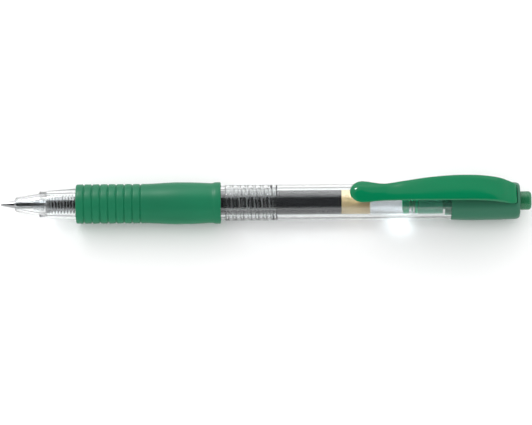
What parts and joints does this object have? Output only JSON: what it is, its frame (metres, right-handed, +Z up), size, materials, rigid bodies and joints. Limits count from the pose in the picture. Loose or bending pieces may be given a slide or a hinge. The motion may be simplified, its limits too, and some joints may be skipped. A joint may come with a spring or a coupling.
{
  "type": "gel pen",
  "caption": "Retractable gel pen with a clear barrel, ringed rubber grip, screw-off front section, sprung pocket clip and click button driving a see-through refill.",
  "frame": {"origin": "on the surface the pen lies on, under the middle of its length and straight below its axis", "axes": "pen lies along X with the writing point towards -X and the button towards +X; the pocket clip stands up along +Z"},
  "size_m": [0.142, 0.0112, 0.0153],
  "materials": {
    "clear_styrene": "clear, polished moulding",
    "green_rubber": "satin, fine moulded grain",
    "green_gloss": "gloss moulding",
    "green_satin": "satin moulding",
    "spring_steel": "bright drawn wire",
    "tip_steel": "turned and polished stainless",
    "carbide": "ground carbide",
    "clear_holder": "translucent natural polypropylene",
    "tube_plastic": "translucent polypropylene extrusion",
    "gel_ink": "wet pigment gel",
    "grease": "amber grease",
    "plug_green": "bright moulding",
    "button_satin": "satin moulding",
    "rotor_acetal": "moulded acetal"
  },
  "bodies": {
    "barrel": {"barrel_tube": "clear_styrene", "clip_cap": "green_satin"},
    "clip": {"pocket_clip": "green_gloss"},
    "button": {"push_button": "button_satin"},
    "rotor": {"cam_rotor": "rotor_acetal"},
    "refill": {"writing_tip": "tip_steel", "writing_ball": "carbide", "tip_holder": "clear_holder", "refill_tube": "tube_plastic", "ink_column": "gel_ink", "ink_follower": "grease", "tail_plug": "plug_green"},
    "spring": {"return_spring": "spring_steel"},
    "front": {"nose_section": "clear_styrene", "rubber_grip": "green_rubber"}
  },
  "joints": [
    {"name": "button_slide", "type": "slide", "parent": "barrel", "child": "button", "axis": [1, 0, 0], "range_m": [-0.001, 0.0055], "stiffness_N_per_m": 250, "deforming": ["return_spring"]},
    {"name": "rotor_slide", "type": "slide", "parent": "barrel", "child": "rotor", "axis": [1, 0, 0], "range_m": [-0.001, 0.0055]},
    {"name": "refill_slide", "type": "slide", "parent": "barrel", "child": "refill", "axis": [1, 0, 0], "range_m": [-0.001, 0.0055]},
    {"name": "clip_flex", "type": "hinge", "parent": "barrel", "child": "clip", "pos_m": [0.0659, 0, 0.00922], "axis": [0, 1, 0], "range_deg": [0, 4], "stiffness_Nm_per_rad": 2},
    {"name": "section_advance", "type": "slide", "parent": "barrel", "child": "spring", "axis": [-1, 0, 0], "range_m": [0, 0.0101]},
    {"name": "section_turn", "type": "hinge", "parent": "spring", "child": "front", "pos_m": [-0.005, 0, 0.00562], "axis": [-1, 0, 0], "range_deg": [0, 1800]}
  ],
  "couplings": [
    {"joint": "rotor_slide", "follows": "button_slide", "ratio": 1},
    {"joint": "refill_slide", "follows": "button_slide", "ratio": 1},
    {"joint": "section_turn", "follows": "section_advance", "rad_per_m": 3110.5}
  ]
}
